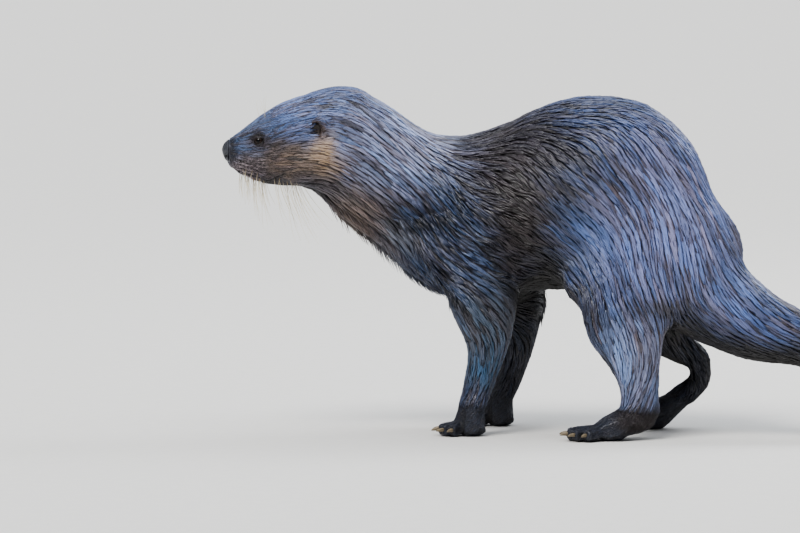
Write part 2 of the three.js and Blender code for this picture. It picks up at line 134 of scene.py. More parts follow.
class Net:
    """The edges of a triangle mesh, for averaging over neighbours."""

    def __init__(self, tri, count):
        edges = np.sort(np.vstack([tri[:, [0, 1]], tri[:, [1, 2]], tri[:, [2, 0]]]), axis=1)
        self.a, self.b = np.unique(edges, axis=0).T
        self.count = count
        self.degree = np.bincount(self.a, minlength=count) + np.bincount(self.b, minlength=count)

    def mean(self, values):
        flat = values.reshape(self.count, -1)
        out = np.empty_like(flat)
        for k in range(flat.shape[1]):
            column = flat[:, k]
            out[:, k] = np.bincount(self.a, column[self.b], self.count) + np.bincount(
                self.b, column[self.a], self.count
            )
        return (out / np.maximum(self.degree, 1)[:, None]).reshape(values.shape)

    def smooth(self, values, turns, rate=0.5):
        rate = np.broadcast_to(rate, (self.count,)).reshape((-1,) + (1,) * (values.ndim - 1))
        for _ in range(turns):
            values = values + rate * (self.mean(values) - values)
        return values


def waves(points, size, seed, turns=5):
    """A smooth pseudo-random field between about -1 and 1, with features of that size in metres."""
    rng = np.random.default_rng(seed)
    total = np.zeros(len(points))
    for _ in range(turns):
        run = rng.normal(size=3)
        run *= 2 * math.pi / (size * rng.uniform(0.7, 1.6)) / norm(run)
        total += np.sin(points @ run + rng.uniform(0, 2 * math.pi))
    return total / math.sqrt(turns * 0.5) * 0.5


def ramp(values, low, high):
    """0 up to low and 1 from high on, with a soft step between."""
    t = np.clip((values - low) / (high - low), 0, 1)
    return t * t * (3 - 2 * t)


def blended(colours, tone, share):
    """The colours, moved towards a tone by each point's share."""
    return colours + np.asarray(share)[:, None] * (tone - colours)


# ---------- The skin ----------
FLESH = [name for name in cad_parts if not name.startswith(("claw", "eye"))]
VOXEL = 2.15 * MM
FACE_END_X = EYES["left"][0] + 26 * MM
HEAD_END_X = EARS["left"][0] + 18 * MM
TOE_TOP = 17 * MM
EYE_REGION = 9.5 * MM


def gather(names):
    """The triangles of several nodes in one list, and which node each belongs to."""
    points, faces, owner, start = [], [], [], 0
    for i, name in enumerate(names):
        co, tri = triangles_of(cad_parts[name].data)
        points.append(co)
        faces.append(tri + start)
        owner.append(np.full(len(tri), i))
        start += len(co)
    return np.vstack(points), np.vstack(faces), np.concatenate(owner)


def remeshed(points, faces, voxel):
    """One closed mesh round overlapping or touching ones."""
    obj = new_object("skin_source", points, faces)
    modifier = obj.modifiers.new("voxels", "REMESH")
    modifier.mode, modifier.voxel_size, modifier.adaptivity = "VOXEL", voxel, 0
    evaluated = obj.evaluated_get(bpy.context.evaluated_depsgraph_get())
    mesh = bpy.data.meshes.new_from_object(evaluated)
    bpy.data.objects.remove(obj)
    return mesh


def refined(mesh, chosen):
    """The mesh with the edges between its chosen vertices halved."""
    bm = bmesh.new()
    bm.from_mesh(mesh)
    bm.verts.ensure_lookup_table()
    edges = [e for e in bm.edges if chosen[e.verts[0].index] and chosen[e.verts[1].index]]
    bmesh.ops.subdivide_edges(bm, edges=edges, cuts=1, use_grid_fill=True)
    bmesh.ops.triangulate(bm, faces=bm.faces)
    bm.to_mesh(mesh)
    bm.free()


# The head, the eyes' surrounds and the toes have finer triangles.
FINE = [
    lambda p: p[:, 0] < HEAD_END_X,
    lambda p: np.min([norm(p - eye, axis=1) for eye in EYES.values()], axis=0) < EYE_REGION,
    lambda p: p[:, 2] < TOE_TOP,
]
flesh_points, flesh_faces, flesh_owner = gather(FLESH + ["eye_left", "eye_right"])
skin_mesh = remeshed(flesh_points, flesh_faces, VOXEL)
for is_fine in FINE:
    refined(skin_mesh, is_fine(triangles_of(skin_mesh)[0]))
skin_points, skin_tri = triangles_of(skin_mesh)
bpy.data.meshes.remove(skin_mesh)
net = Net(skin_tri, len(skin_points))

flesh_tree = BVHTree.FromPolygons(flesh_points.tolist(), flesh_faces.tolist())


def nearest(tree, points):
    """The nearest place, its normal and its face, for each point."""
    hits = [tree.find_nearest(p)[:3] for p in points.tolist()]
    place, normal, face = zip(*hits)
    return np.array(place), np.array(normal), np.array(face)


# How strongly each part of the skin is smoothed, and how deep the coat is there in millimetres.
PARTS = {
    "nose_pad": (0.02, 0.0),
    "head": (0.22, 1.1),
    "jaw": (0.2, 0.8),
    "ear": (0.03, 0.4),
    "eye": (0.0, 0.0),
    "neck": (0.5, 2.4),
    ("chest", "loin", "rump"): (0.5, 2.6),
    "tail_root": (0.5, 2.2),
    "tail_middle": (0.45, 1.9),
    "tail_end": (0.4, 1.6),
    "tail_tip": (0.3, 1.2),
    ("foreleg", "hindleg"): (0.4, 1.6),
    ("forefoot", "hindfoot"): (0.035, 0.5),
}


def listed(table, node):
    """The table's value for a node, whose name starts with a key or with one of a key's words."""
    return next(value for starts, value in table.items() if node.startswith(starts))


part_names = np.array(FLESH + ["eye_left", "eye_right"])
part_values = np.array([listed(PARTS, name) for name in part_names])
_, _, face = nearest(flesh_tree, skin_points)
skin_part = flesh_owner[face]


def on_nodes(start):
    """Which vertices belong to nodes whose names start so."""
    return np.isin(skin_part, [i for i, name in enumerate(part_names) if name.startswith(start)])


rate = net.smooth(part_values[skin_part, 0], 8)
depth = net.smooth(part_values[skin_part, 1], 30) * MM
smooth_points = net.smooth(skin_points, 64, rate)

# The smoothed skin is brought back under the solids' own surface, by the depth of the coat.
place, face_normal, _ = nearest(flesh_tree, smooth_points)
height = dot(smooth_points - place, face_normal)
detail = 1 - ramp(rate, 0.05, 0.3)
height = detail * net.smooth(height, 2) + (1 - detail) * net.smooth(height, 60)
skin_normal = vertex_normals(smooth_points, skin_tri)
skin_points = smooth_points - skin_normal * (height + depth)[:, None]


# ---------- Places named by where the photograph shows them ----------
def spot(px, py):
    """Length and height, in metres, of a place on the animal's middle plane."""
    return np.array([NOSE_TIP[0] + (px - NOSE_TIP_PX_X) * MM, (FLOOR_PX_Y - py) * MM])


def spots(*places):
    return [spot(*place) for place in places]


def patch(px, py, half_width, half_height):
    """A patch of the sides: its middle, and its half width and height, given in millimetres."""
    return spot(px, py), np.array([half_width, half_height]) * MM


MOUTH_LINE = spots((232, 168), (240, 176), (250, 181), (259, 183), (270, 180), (284, 173))
NOSTRIL = spot(225.4, 156.8)


def distance_to_line(points, line):
    """The distance of flat points from a line of places."""
    best = np.full(len(points), np.inf)
    for a, b in zip(line[:-1], line[1:]):
        run = b - a
        t = np.clip(((points - a) @ run) / (run @ run), 0, 1)
        best = np.minimum(best, norm(points - a - t[:, None] * run, axis=1))
    return best


# ---------- Lids, mouth and loose folds ----------
EYE_AXES = {}
for side, sign in SIDES.items():
    out = unit(np.array([-0.30, sign, 0.10]))
    along = np.array([0.97, 0, 0.24])
    along = unit(along - out * (along @ out))
    EYE_AXES[side] = (along, unit(np.cross(along, out)) * -sign, out)
EYE_OPENING = (4.8 * MM, 2.9 * MM)
LID_THICKNESS, SOCKET_GAP = 0.7 * MM, 1.8 * MM
EYE_BACK, EYE_REACH, FAR_OFF = -3 * MM, 22 * MM, 99


def eye_measure(points, side):
    """Places round an eye: 1 on the edge of the lids, and the place along each of the eye's three axes."""
    local = np.stack([(points - EYES[side]) @ axis for axis in EYE_AXES[side]], axis=1)
    q = np.hypot(local[:, 0] / EYE_OPENING[0], local[:, 1] / EYE_OPENING[1])
    q[(local[:, 2] < EYE_BACK) | (norm(local, axis=1) > EYE_REACH)] = FAR_OFF
    return q, local


def shape_lids(points):
    """Lids that lie on the eyeballs, round an almond opening, and a socket behind it."""
    points = points.copy()
    for side in SIDES:
        q, local = eye_measure(points, side)
        flat = local[:, 0] ** 2 + local[:, 1] ** 2
        lid = np.sqrt(np.maximum((EYE_RADIUS + LID_THICKNESS) ** 2 - flat, (1.5 * MM) ** 2))
        socket = np.sqrt(np.maximum((EYE_RADIUS - SOCKET_GAP) ** 2 - flat, 0))
        target = socket + (lid - socket) * ramp(q, 0.82, 1.04)
        share = 1 - ramp(q, 1.25, 2.3)
        move = share * (target - local[:, 2])
        points += move[:, None] * EYE_AXES[side][2]
    return points


MOUTH_DEPTH = 1.3


def carve_mouth(points, normals):
    """The line of the closed mouth."""
    flat = points[:, [0, 2]]
    groove = 1 - ramp(distance_to_line(flat, MOUTH_LINE), 0.1 * MM, 1.5 * MM)
    groove *= points[:, 0] < FACE_END_X
    return points - normals * (groove * MOUTH_DEPTH * MM)[:, None]


# Loose skin creases where the neck turns into the shoulder, and behind the shoulder.
FOLDS = [
    spots((382, 217), (402, 218), (424, 213), (444, 210), (454, 199), (455, 182)),
    spots((456, 212), (472, 234), (488, 262), (500, 288)),
]
FOLD_WIDTH, FOLD_DEPTH = 3.6 * MM, 2.4 * MM


def fold_share(points):
    """1 in the bottom of a crease, 0 away from it."""
    distance = np.min([distance_to_line(points[:, [0, 2]], line) for line in FOLDS], axis=0)
    return np.exp(-((distance / FOLD_WIDTH) ** 2)) * ramp(np.abs(points[:, 1] - HEAD_Y), 18 * MM, 30 * MM)


EAR_OPENING, EAR_HALF = patch(315.5, 128.5, 7.6, 9.6)
EAR_RIM, EAR_BOWL, EARS_APART = 2.2, 4.0, 22 * MM


def ear_measure(points):
    """Places round the ears' openings: 1 on the edge, and how far back and up a place lies."""
    off = (points[:, [0, 2]] - EAR_OPENING) / EAR_HALF
    q = norm(off, axis=1)
    back = off @ unit(np.array([1.0, 0.45])) / np.maximum(q, 1e-6)
    q[np.abs(points[:, 1] - HEAD_Y) < EARS_APART] = FAR_OFF
    return q, back


def shape_ears(points, normals):
    """A bowl in each ear and a rim round it, highest at the back."""
    q, back = ear_measure(points)
    bowl = 1 - ramp(q, 0.35, 1.02)
    rim = np.exp(-(((q - 1.35) / 0.26) ** 2)) * (0.25 + 0.75 * ramp(back, -0.2, 0.7))
    return points + normals * (EAR_RIM * rim - EAR_BOWL * bowl)[:, None] * MM


LEG_NAMES = ["foreleg_left", "foreleg_right", "hindleg_left", "hindleg_right"]
FEET = [leg.replace("leg", "foot") for leg in LEG_NAMES]
TOE_RADIUS, TOE_GAP, FOOT_MARGIN = 3.2 * MM, 2.6 * MM, 4 * MM


def shape_toes(points, normals):
    """Hollows between the toes, and how deep each point lies in one."""
    between = np.zeros(len(points))
    for foot in FEET:
        tips = np.array([middle(f"claw_{foot}_{i}")[:2] for i in range(1, 6)])
        palm = middle(foot)[:2]
        low, high = box(foot)
        inside = np.all((points > low - FOOT_MARGIN) & (points < high + FOOT_MARGIN), axis=1)
        flat = points[inside, :2]
        nearest_toe = np.full(len(flat), np.inf)
        for tip in tips:
            start = palm + 0.12 * (tip - palm)
            nearest_toe = np.minimum(nearest_toe, distance_to_line(flat, [start, tip]))
        forward = norm(flat - palm, axis=1) / norm(tips - palm, axis=1).mean()
        heading = ((flat - palm) @ unit((tips - palm).mean(axis=0))) > 0
        off_toes = ramp(nearest_toe, TOE_RADIUS, TOE_RADIUS + TOE_GAP)
        between[inside] = off_toes * ramp(forward, 0.3, 0.6) * heading
    return points - normals * (TOE_GAP * between)[:, None], between


skin_points, toe_gap = shape_toes(skin_points, skin_normal)
skin_points = shape_ears(skin_points, skin_normal)
# Under the nose pad, which is a piece of its own, the skin lies deeper than the nostrils.
UNDER_NOSE = 5 * MM
nose_share = net.smooth(on_nodes("nose_pad").astype(float), 6)
skin_points = skin_points - skin_normal * (UNDER_NOSE * ramp(nose_share, 0.75, 1.0))[:, None]
skin_points = shape_lids(skin_points)
fold = fold_share(skin_points)
skin_points = skin_points - skin_normal * (FOLD_DEPTH * fold)[:, None]
skin_normal = vertex_normals(skin_points, skin_tri)
skin_points = carve_mouth(skin_points, skin_normal)
skin_normal = vertex_normals(skin_points, skin_tri)
skin_tree = BVHTree.FromPolygons(skin_points.tolist(), skin_tri.tolist())


# ---------- The lie of the coat ----------
# The nodes along the back, each with how far the hair on the sides turns down there.
SPINE_DROOP = {
    "nose_pad": 0.0,
    "head": 0.1,
    "neck": 0.35,
    "chest": 0.7,
    "loin": 0.85,
    "rump": 1.3,
    "tail_root": 0.35,
    "tail_middle": 0.12,
    "tail_end": 0.05,
    "tail_tip": 0.0,
}


def resampled(places, steps):
    """A smooth line through the places, as points and the place number each lies at."""
    places = np.array(places)
    t = np.linspace(0, len(places) - 1, steps)
    i = np.clip(t.astype(int), 0, len(places) - 2)
    f = (t - i)[:, None]
    p0, p1 = places[np.maximum(i - 1, 0)], places[i]
    p2, p3 = places[i + 1], places[np.minimum(i + 2, len(places) - 1)]
    square, cube = 2 * p0 - 5 * p1 + 4 * p2 - p3, 3 * p1 - p0 - 3 * p2 + p3
    return 0.5 * (2 * p1 + (p2 - p0) * f + square * f**2 + cube * f**3), t


def along_line(points, line):
    """The nearest sample of the line to each point."""
    parts = np.array_split(points, 1 + len(points) // 20000)
    return np.concatenate([((part[:, None] - line) ** 2).sum(-1).argmin(1) for part in parts])


spine, spine_t = resampled([middle(node) for node in SPINE_DROOP], 120)
spine_run = unit(np.gradient(spine, axis=0))
spine_droop = np.interp(spine_t, range(len(SPINE_DROOP)), list(SPINE_DROOP.values()))

# For each leg: the vertices on it, their nearest samples of its line, the line, and the way it runs there.
legs = []
leg_place = np.zeros(len(skin_points))
for leg, foot in zip(LEG_NAMES, FEET):
    claws = np.mean([middle(f"claw_{foot}_{i}") for i in range(1, 6)], axis=0)
    line, line_t = resampled([middle(f"{leg}_upper"), middle(f"{leg}_lower"), middle(foot), claws], 40)
    chosen = on_nodes((leg, foot))
    near = along_line(skin_points[chosen], line)
    leg_place[chosen] = line_t[near]
    legs.append((chosen, near, line, unit(np.gradient(line, axis=0))[near]))

# Hair runs back along the spine and down the sides, away from the nose on the head, and down the legs.
near_spine = along_line(skin_points, spine)
away = skin_points - spine[near_spine]
sideways = np.abs(away[:, 1]) / np.maximum(norm(away, axis=1), 1e-6)
flow = spine_run[near_spine] + np.outer(spine_droop[near_spine] * ramp(sideways, 0.1, 0.9), [0, 0, -1])
from_nose = skin_points - NOSE_TIP
head_flow = unit(unit(from_nose) + np.array([0.35, 0, 0.05]))
head_share = 1 - ramp(skin_points[:, 0] - NOSE_TIP[0], 70 * MM, 150 * MM)
flow = unit(flow) * (1 - head_share)[:, None] + head_flow * head_share[:, None]
for chosen, _, _, run in legs:
    share = 0.35 + 0.65 * ramp(leg_place[chosen], 0.0, 0.8)
    flow[chosen] = flow[chosen] * (1 - share)[:, None] + run * share[:, None]
flow = net.smooth(unit(flow), 70)

# Curly hair, sleek hair and hair in ragged points.
WAVY, SLEEK = patch(506, 222, 44, 66), patch(582, 232, 42, 52)
RAGGED, ARMPIT = patch(400, 225, 120, 90), patch(548, 302, 20, 16)


def within(points, where, inner=0.5, outer=1.1):
    """1 inside a patch, fading to 0 outside it."""
    place, half = where
    return 1 - ramp(norm((points[:, [0, 2]] - place) / half, axis=1), inner, outer)


wavy = within(skin_points, WAVY)
turn = 0.14 * waves(skin_points, 60 * MM, 3) + 0.07 * waves(skin_points, 22 * MM, 4)
turn += 0.42 * wavy * waves(skin_points, 15 * MM, 6)
flow = unit(flow - skin_normal * dot(flow, skin_normal)[:, None])
flow = flow * np.cos(turn)[:, None] + np.cross(skin_normal, flow) * np.sin(turn)[:, None]


# ---------- Markings, painted reflection and painted shade ---
def linear(r, g, b):
    """A colour as the eye reads it, 0 to 255, in the linear values that a shader takes."""
    c = np.array([r, g, b]) / 255
    return np.where(c <= 0.04045, c / 12.92, ((c + 0.055) / 1.055) ** 2.4)


# The coat's base colour is its own dark colour with a painted reflection of the sky in it, the blue sheen of
# wet fur.
SLATE_WITH_SHEEN = linear(72, 84, 114)
# Each entry: its place in the photograph, its half width and height in millimetres, colour and strength.
# The slate-blue and pale blue entries are painted reflection of the sky on the wet coat, lightest where they
# are painted highlights; the others are the coat's own colours, apart from the painted shade noted below.
MARKINGS_AND_PAINTED_LIGHT = [
    ("crown", (318, 108), (100, 38), (96, 114, 164), 0.95),
    ("nape", (392, 140), (80, 54), (160, 174, 214), 0.95),
    ("upper back", (605, 122), (120, 44), (66, 84, 130), 0.9),
    ("brown back", (500, 172), (60, 56), (66, 57, 60), 0.85),
    ("shoulder", (440, 215), (44, 54), (60, 80, 118), 0.9),
    ("saddle", (515, 140), (76, 32), (58, 52, 58), 0.8),
    ("shoulder streak", (464, 230), (13, 18), (116, 138, 176), 0.75),
    ("shoulder streak below", (476, 254), (13, 18), (112, 132, 168), 0.75),
    ("arm streak", (487, 278), (13, 16), (104, 124, 158), 0.7),
    ("brown flank", (508, 225), (38, 66), (54, 45, 44), 0.95),
    ("flank patch", (585, 235), (46, 56), (88, 106, 152), 0.85),
    ("haunch", (665, 210), (84, 108), (138, 152, 206), 0.95),
    ("tail", (750, 306), (90, 38), (92, 108, 156), 0.9),
    ("tail root", (720, 284), (26, 28), (132, 150, 206), 0.8),
    ("hip", (730, 228), (10, 24), (104, 98, 112), 0.6),
    # Painted shade: the shadow in the fold between haunch and shank.
    ("thigh fold", (656, 292), (42, 11), (58, 56, 60), 0.85),
    ("groin", (668, 326), (13, 19), (112, 88, 68), 0.75),
    # Painted shade under the tail, over the tail's own darker underside.
    ("tail underside", (775, 364), (100, 32), (30, 28, 28), 0.98),
    ("throat", (345, 207), (42, 42), (142, 124, 114), 0.9),
    ("low neck", (385, 234), (34, 26), (140, 142, 154), 0.85),
    ("breast", (425, 262), (56, 30), (66, 82, 116), 0.9),
    ("belly", (530, 292), (66, 34), (38, 31, 28), 0.95),
    ("shank", (624, 352), (40, 58), (150, 166, 208), 0.95),
    ("foreleg", (482, 325), (34, 56), (96, 108, 126), 0.9),
    ("wrist", (484, 350), (18, 28), (66, 102, 136), 0.85),
    ("forehead", (286, 113), (34, 17), (130, 152, 206), 0.9),
    ("bridge", (250, 134), (30, 20), (116, 136, 176), 0.9),
    ("cheek", (292, 163), (48, 24), (132, 112, 94), 0.9),
    ("buff patch", (319, 151), (16, 23), (184, 156, 124), 0.95),
    ("eye surround", (259, 140), (15, 11), (66, 48, 40), 0.9),
    ("whisker pad", (246, 167), (19, 14), (206, 190, 196), 0.98),
    ("brow", (272, 131), (12, 6), (108, 136, 186), 0.9),
    ("nose rim", (230, 152), (6, 15), (62, 62, 70), 0.9),
    ("lower lip", (258, 184), (18, 5), (44, 42, 40), 0.95),
    ("chin", (282, 187), (30, 7), (66, 60, 56), 0.9),
]
FOOT_COLOUR, FAR_LEG_SHADE, UNDERSIDE_SHADE = linear(50, 55, 68), linear(42, 42, 48), linear(30, 27, 26)
CUP_COLOUR, RIM_COLOUR = linear(84, 64, 56), linear(16, 12, 12)
ANKLE, ANKLE_COLOUR = patch(636, 410, 30, 17), linear(44, 28, 24)
BACK_START_X = spot(430, FLOOR_PX_Y)[0]
PAD = patch(247, 167, 17, 11)
DOT_GAP, DOT_COLOUR = 3.5 * MM, linear(34, 28, 32)
DOT_ROWS = np.array([0.34, 0.94])


def pad_dots(points):
    """Rows of dark follicles on the whisker pads."""
    off = points[:, [0, 2]] - PAD[0]
    row = off @ DOT_ROWS / DOT_GAP
    column = off @ np.array([DOT_ROWS[1], -DOT_ROWS[0]]) / DOT_GAP + 0.5 * np.round(row)
    near = np.hypot(row - np.round(row), column - np.round(column))
    return (1 - ramp(near, 0.22, 0.42)) * (1 - ramp(norm(off / PAD[1], axis=1), 0.8, 1.1))


def coat_colours_and_painted_light(points, far):
    """The coat's colour at each point: its own markings, with painted reflection and painted shade. far is 1
    on the legs that the photograph shows in shade, which are painted darker as shade.
    """
    colour = np.tile(SLATE_WITH_SHEEN, (len(points), 1))
    warp = np.stack([waves(points, 26 * MM, 21), waves(points, 26 * MM, 22)], axis=1)
    fine = np.stack([waves(points, 9 * MM, 23), waves(points, 9 * MM, 24)], axis=1)
    for _, place, half, tone, strength in MARKINGS_AND_PAINTED_LIGHT:
        off = (points[:, [0, 2]] - spot(*place)) / (np.array(half) * MM) + 0.16 * warp + 0.08 * fine
        share = strength * (1 - ramp(norm(off, axis=1), 0.2, 1.35))
        colour = blended(colour, linear(*tone), share)
    colour = blended(colour, DOT_COLOUR, 0.9 * pad_dots(points))
    # Painted shade: the far legs are darkened.
    return blended(colour, FAR_LEG_SHADE, 0.75 * far)


is_foot = net.smooth(on_nodes(("forefoot", "hindfoot")).astype(float), 12)
far_nodes = ("foreleg_right", "hindleg_right", "forefoot_right", "hindfoot_right")
is_far = net.smooth(on_nodes(far_nodes).astype(float), 20)
skin_colour = coat_colours_and_painted_light(skin_points, is_far)
# Painted shade: behind the neck, surfaces that face down are darkened towards a near-black brown.
behind_neck = ramp(skin_points[:, 0] - BACK_START_X, 0, 60 * MM)
under = 0.92 * behind_neck * ramp(-skin_normal[:, 2], 0.2, 0.62)
skin_colour = blended(skin_colour, UNDERSIDE_SHADE, under)
skin_colour = blended(skin_colour, FOOT_COLOUR, 0.85 * is_foot)
skin_colour = blended(skin_colour, ANKLE_COLOUR, 0.85 * within(skin_points, ANKLE))

# Lips, lids and the bowls of the ears are dark, and bare of locks, as is the skin under the nose pad.
lip = 1 - ramp(distance_to_line(skin_points[:, [0, 2]], MOUTH_LINE), 0.5 * MM, 2.0 * MM)
lip *= skin_points[:, 0] < FACE_END_X
skin_colour = blended(skin_colour, RIM_COLOUR, lip)
bare = lip > 0.97
for side in SIDES:
    q, _ = eye_measure(skin_points, side)
    skin_colour = blended(skin_colour, RIM_COLOUR, 1 - ramp(q, 1.15, 1.5))
    bare |= q < 1.45
ear_q, _ = ear_measure(skin_points)
skin_colour = blended(skin_colour, CUP_COLOUR, 1 - ramp(ear_q, 0.8, 1.15))
bare |= ear_q < 0.8
bare |= nose_share > 0.62

# Painted shade: hollows, the gaps between the toes and the folds are painted darker, as shade falls there.
hollow = net.smooth(dot(net.mean(skin_points) - skin_points, skin_normal), 3)
skin_colour *= (1 - 0.65 * ramp(hollow / VOXEL, 0.015, 0.10))[:, None]
skin_colour *= (1 - 0.7 * toe_gap)[:, None]
skin_colour *= (1 - 0.6 * fold)[:, None]


# ---------- Materials ----------
class Nodes:
    """A short way to write a node tree."""

    def __init__(self, name):
        self.material = bpy.data.materials.new(name)
        self.material.use_nodes = True
        self.tree = self.material.node_tree
        self.shader = self.tree.nodes["Principled BSDF"]

    def add(self, kind, settings=None, **inputs):
        node = self.tree.nodes.new("ShaderNode" + kind)
        for key, value in (settings or {}).items():
            setattr(node, key, value)
        for key, value in inputs.items():
            self.put(node.inputs[key.replace("_", " ")], value)
        return node

    def put(self, socket, value):
        if isinstance(value, bpy.types.NodeSocket):
            self.tree.links.new(value, socket)
        else:
            socket.default_value = value

    def attribute(self, name, output="Fac"):
        return self.add("Attribute", {"attribute_name": name}).outputs[output]

    def math(self, operation, a, b=0.0):
        node = self.add("Math", {"operation": operation})
        self.put(node.inputs[0], a)
        self.put(node.inputs[1], b)
        return node.outputs[0]

    def mix(self, factor, a, b, blend="MIX"):
        node = self.add("Mix", {"data_type": "RGBA", "blend_type": blend})
        self.put(node.inputs["Factor"], factor)
        self.put(node.inputs["A"], a)
        self.put(node.inputs["B"], b)
        return node.outputs["Result"]

    def spread(self, value, low, high):
        """A value from 0 to 1 spread over a new range."""
        return self.add("MapRange", None, Value=value, To_Min=low, To_Max=high).outputs["Result"]

    def place(self):
        return self.add("TexCoord").outputs["Object"]

    def noise(self, scale, detail=3.0, at=None):
        at = at or self.place()
        return self.add("TexNoise", None, Vector=at, Scale=scale, Detail=detail).outputs["Fac"]

    def bump(self, height, strength, distance):
        return self.add("Bump", None, Height=height, Strength=strength, Distance=distance).outputs["Normal"]

    def set(self, **inputs):
        for key, value in inputs.items():
            self.put(self.shader.inputs[key.replace("_", " ")], value)
        return self.material


def colour4(r, g, b):
    return (*linear(r, g, b), 1.0)


def coat_material():
    n = Nodes("wet_coat")
    own = n.attribute("tone")
    along = n.attribute("along")
    fine = n.noise(1.0, 2.0, n.attribute("strand", "Vector"))
    shade = n.math("MULTIPLY", own, n.spread(fine, 0.72, 1.28))
    grey = n.add("CombineXYZ", None, X=shade, Y=shade, Z=shade).outputs["Vector"]
    base = n.mix(1.0, n.attribute("colour_and_painted_light", "Color"), grey, "MULTIPLY")
    # Painted shade: each lock is darker towards its root and along its edges, where its neighbours shade it.
    depth = n.math("MULTIPLY", n.spread(along, 0.7, 1.0), n.spread(n.attribute("ridge"), 0.78, 1.0))
    base = n.mix(depth, colour4(20, 15, 14), base)
    rough = n.spread(n.noise(70.0), 0.27, 0.42)
    return n.set(
        Base_Color=base,
        Roughness=rough,
        Specular_IOR_Level=0.6,
        Coat_Weight=0.3,
        Coat_Roughness=0.2,
        Normal=n.bump(fine, 0.8, 0.0006),
    )


def skin_material():
    n = Nodes("skin_hide")
    fine = n.noise(900.0, 4.0)
    broad = n.noise(90.0)
    base = n.mix(n.spread(fine, 0.15, 0.65), n.attribute("colour_and_painted_light", "Color"), colour4(26, 22, 23))
    base = n.mix(n.spread(broad, 0.0, 0.35), base, colour4(40, 36, 40))
    return n.set(
        Base_Color=base,
        Roughness=n.spread(broad, 0.36, 0.55),
        Coat_Weight=0.15,
        Coat_Roughness=0.3,
        Normal=n.bump(fine, 0.6, 0.0005),
    )


def nose_material():
    n = Nodes("nose_leather_wet")
    cells = n.add("TexVoronoi", {"feature": "DISTANCE_TO_EDGE"}, Vector=n.place(), Scale=1100.0)
    broad = n.noise(160.0)
    base = n.mix(n.spread(broad, 0.0, 1.0), colour4(28, 28, 33), colour4(58, 61, 70))
    # Painted shade: the insides of the nostrils are near-black.
    base = n.mix(n.attribute("nostril_shade"), base, colour4(6, 5, 6))
    return n.set(
        Base_Color=base,
        Roughness=n.spread(broad, 0.34, 0.5),
        Coat_Weight=0.25,
        Coat_Roughness=0.22,
        Normal=n.bump(cells.outputs["Distance"], 0.9, 0.0005),
    )


def eye_material():
    n = Nodes("eye_wet")
    ring = n.attribute("ring")
    veins = n.noise(1500.0)
    iris = n.mix(veins, colour4(20, 13, 11), colour4(44, 28, 20))
    base = n.mix(n.math("GREATER_THAN", ring, 0.36), colour4(3, 3, 5), iris)
    base = n.mix(n.math("GREATER_THAN", ring, 0.78), base, colour4(24, 16, 14))
    return n.set(Base_Color=base, Roughness=n.spread(veins, 0.05, 0.1), Specular_IOR_Level=0.3)


def claw_material():
    n = Nodes("claw_horn_worn")
    lines = n.noise(1400.0, 4.0)
    broad = n.noise(240.0)
    base = n.mix(broad, colour4(92, 80, 64), colour4(158, 144, 118))
    base = n.mix(n.spread(lines, 0.0, 0.5), base, colour4(70, 60, 50))
    return n.set(Base_Color=base, Roughness=n.spread(lines, 0.3, 0.5), Normal=n.bump(lines, 0.35, 0.0002))


def whisker_material():
    n = Nodes("whisker_hair")
    fade = n.attribute("along")
    pale = n.math("MINIMUM", n.math("MULTIPLY", fade, 3.0), 1.0)
    base = n.mix(pale, colour4(120, 104, 84), colour4(240, 228, 196))
    base = n.mix(n.spread(n.noise(800.0), 0.0, 0.3), base, colour4(150, 128, 96))
    return n.set(Base_Color=base, Roughness=n.spread(fade, 0.35, 0.5))


def stage_material():
    n = Nodes("stage_paper")
    grain = n.noise(60.0, 4.0)
    base = n.mix(grain, colour4(214, 212, 208), colour4(222, 220, 216))
    return n.set(Base_Color=base, Roughness=n.spread(grain, 0.75, 0.9), Normal=n.bump(grain, 0.05, 0.001))


def put_colours_and_painted_light(obj, colours):
    put_attribute(obj, "colour_and_painted_light", np.insert(colours, 3, 1, axis=1), "FLOAT_COLOR", "color")


coat_look = coat_material()

# ---------- The skin's piece ----------
skin = new_object("skin", skin_points, skin_tri, skin_material())
put_colours_and_painted_light(skin, skin_colour)
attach(skin, "root")
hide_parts(*[name for name in FLESH if name != "nose_pad"])


# ---------- The map that the locks lie on ----------
def unwrapped():
    """A flat place for each skin vertex: length along the body by turn round it, and a block for each leg."""
    turn = np.arctan2(away[:, 1], away[:, 2]) / (2 * math.pi) + 0.5
    uv = np.stack([0.02 + 0.96 * near_spine / (len(spine) - 1), 0.02 + 0.52 * turn], axis=1)
    fine_length = dot(away, spine_run[near_spine]) / norm(spine[-1] - spine[0])
    uv[:, 0] = np.clip(uv[:, 0] + fine_length, 0.01, 0.99)
    for i, (chosen, near, line, run) in enumerate(legs):
        off = skin_points[chosen] - line[near]
        turn = np.arctan2(off[:, 1], off[:, 0]) / (2 * math.pi) + 0.5
        length = dot(off, run) / norm(line[-1] - line[0])
        length = np.clip(near / (len(line) - 1) + length, 0, 1)
        uv[chosen] = np.stack([0.02 + 0.24 * i + 0.21 * turn, 0.6 + 0.36 * length], axis=1)
    return uv


skin_uv = unwrapped()

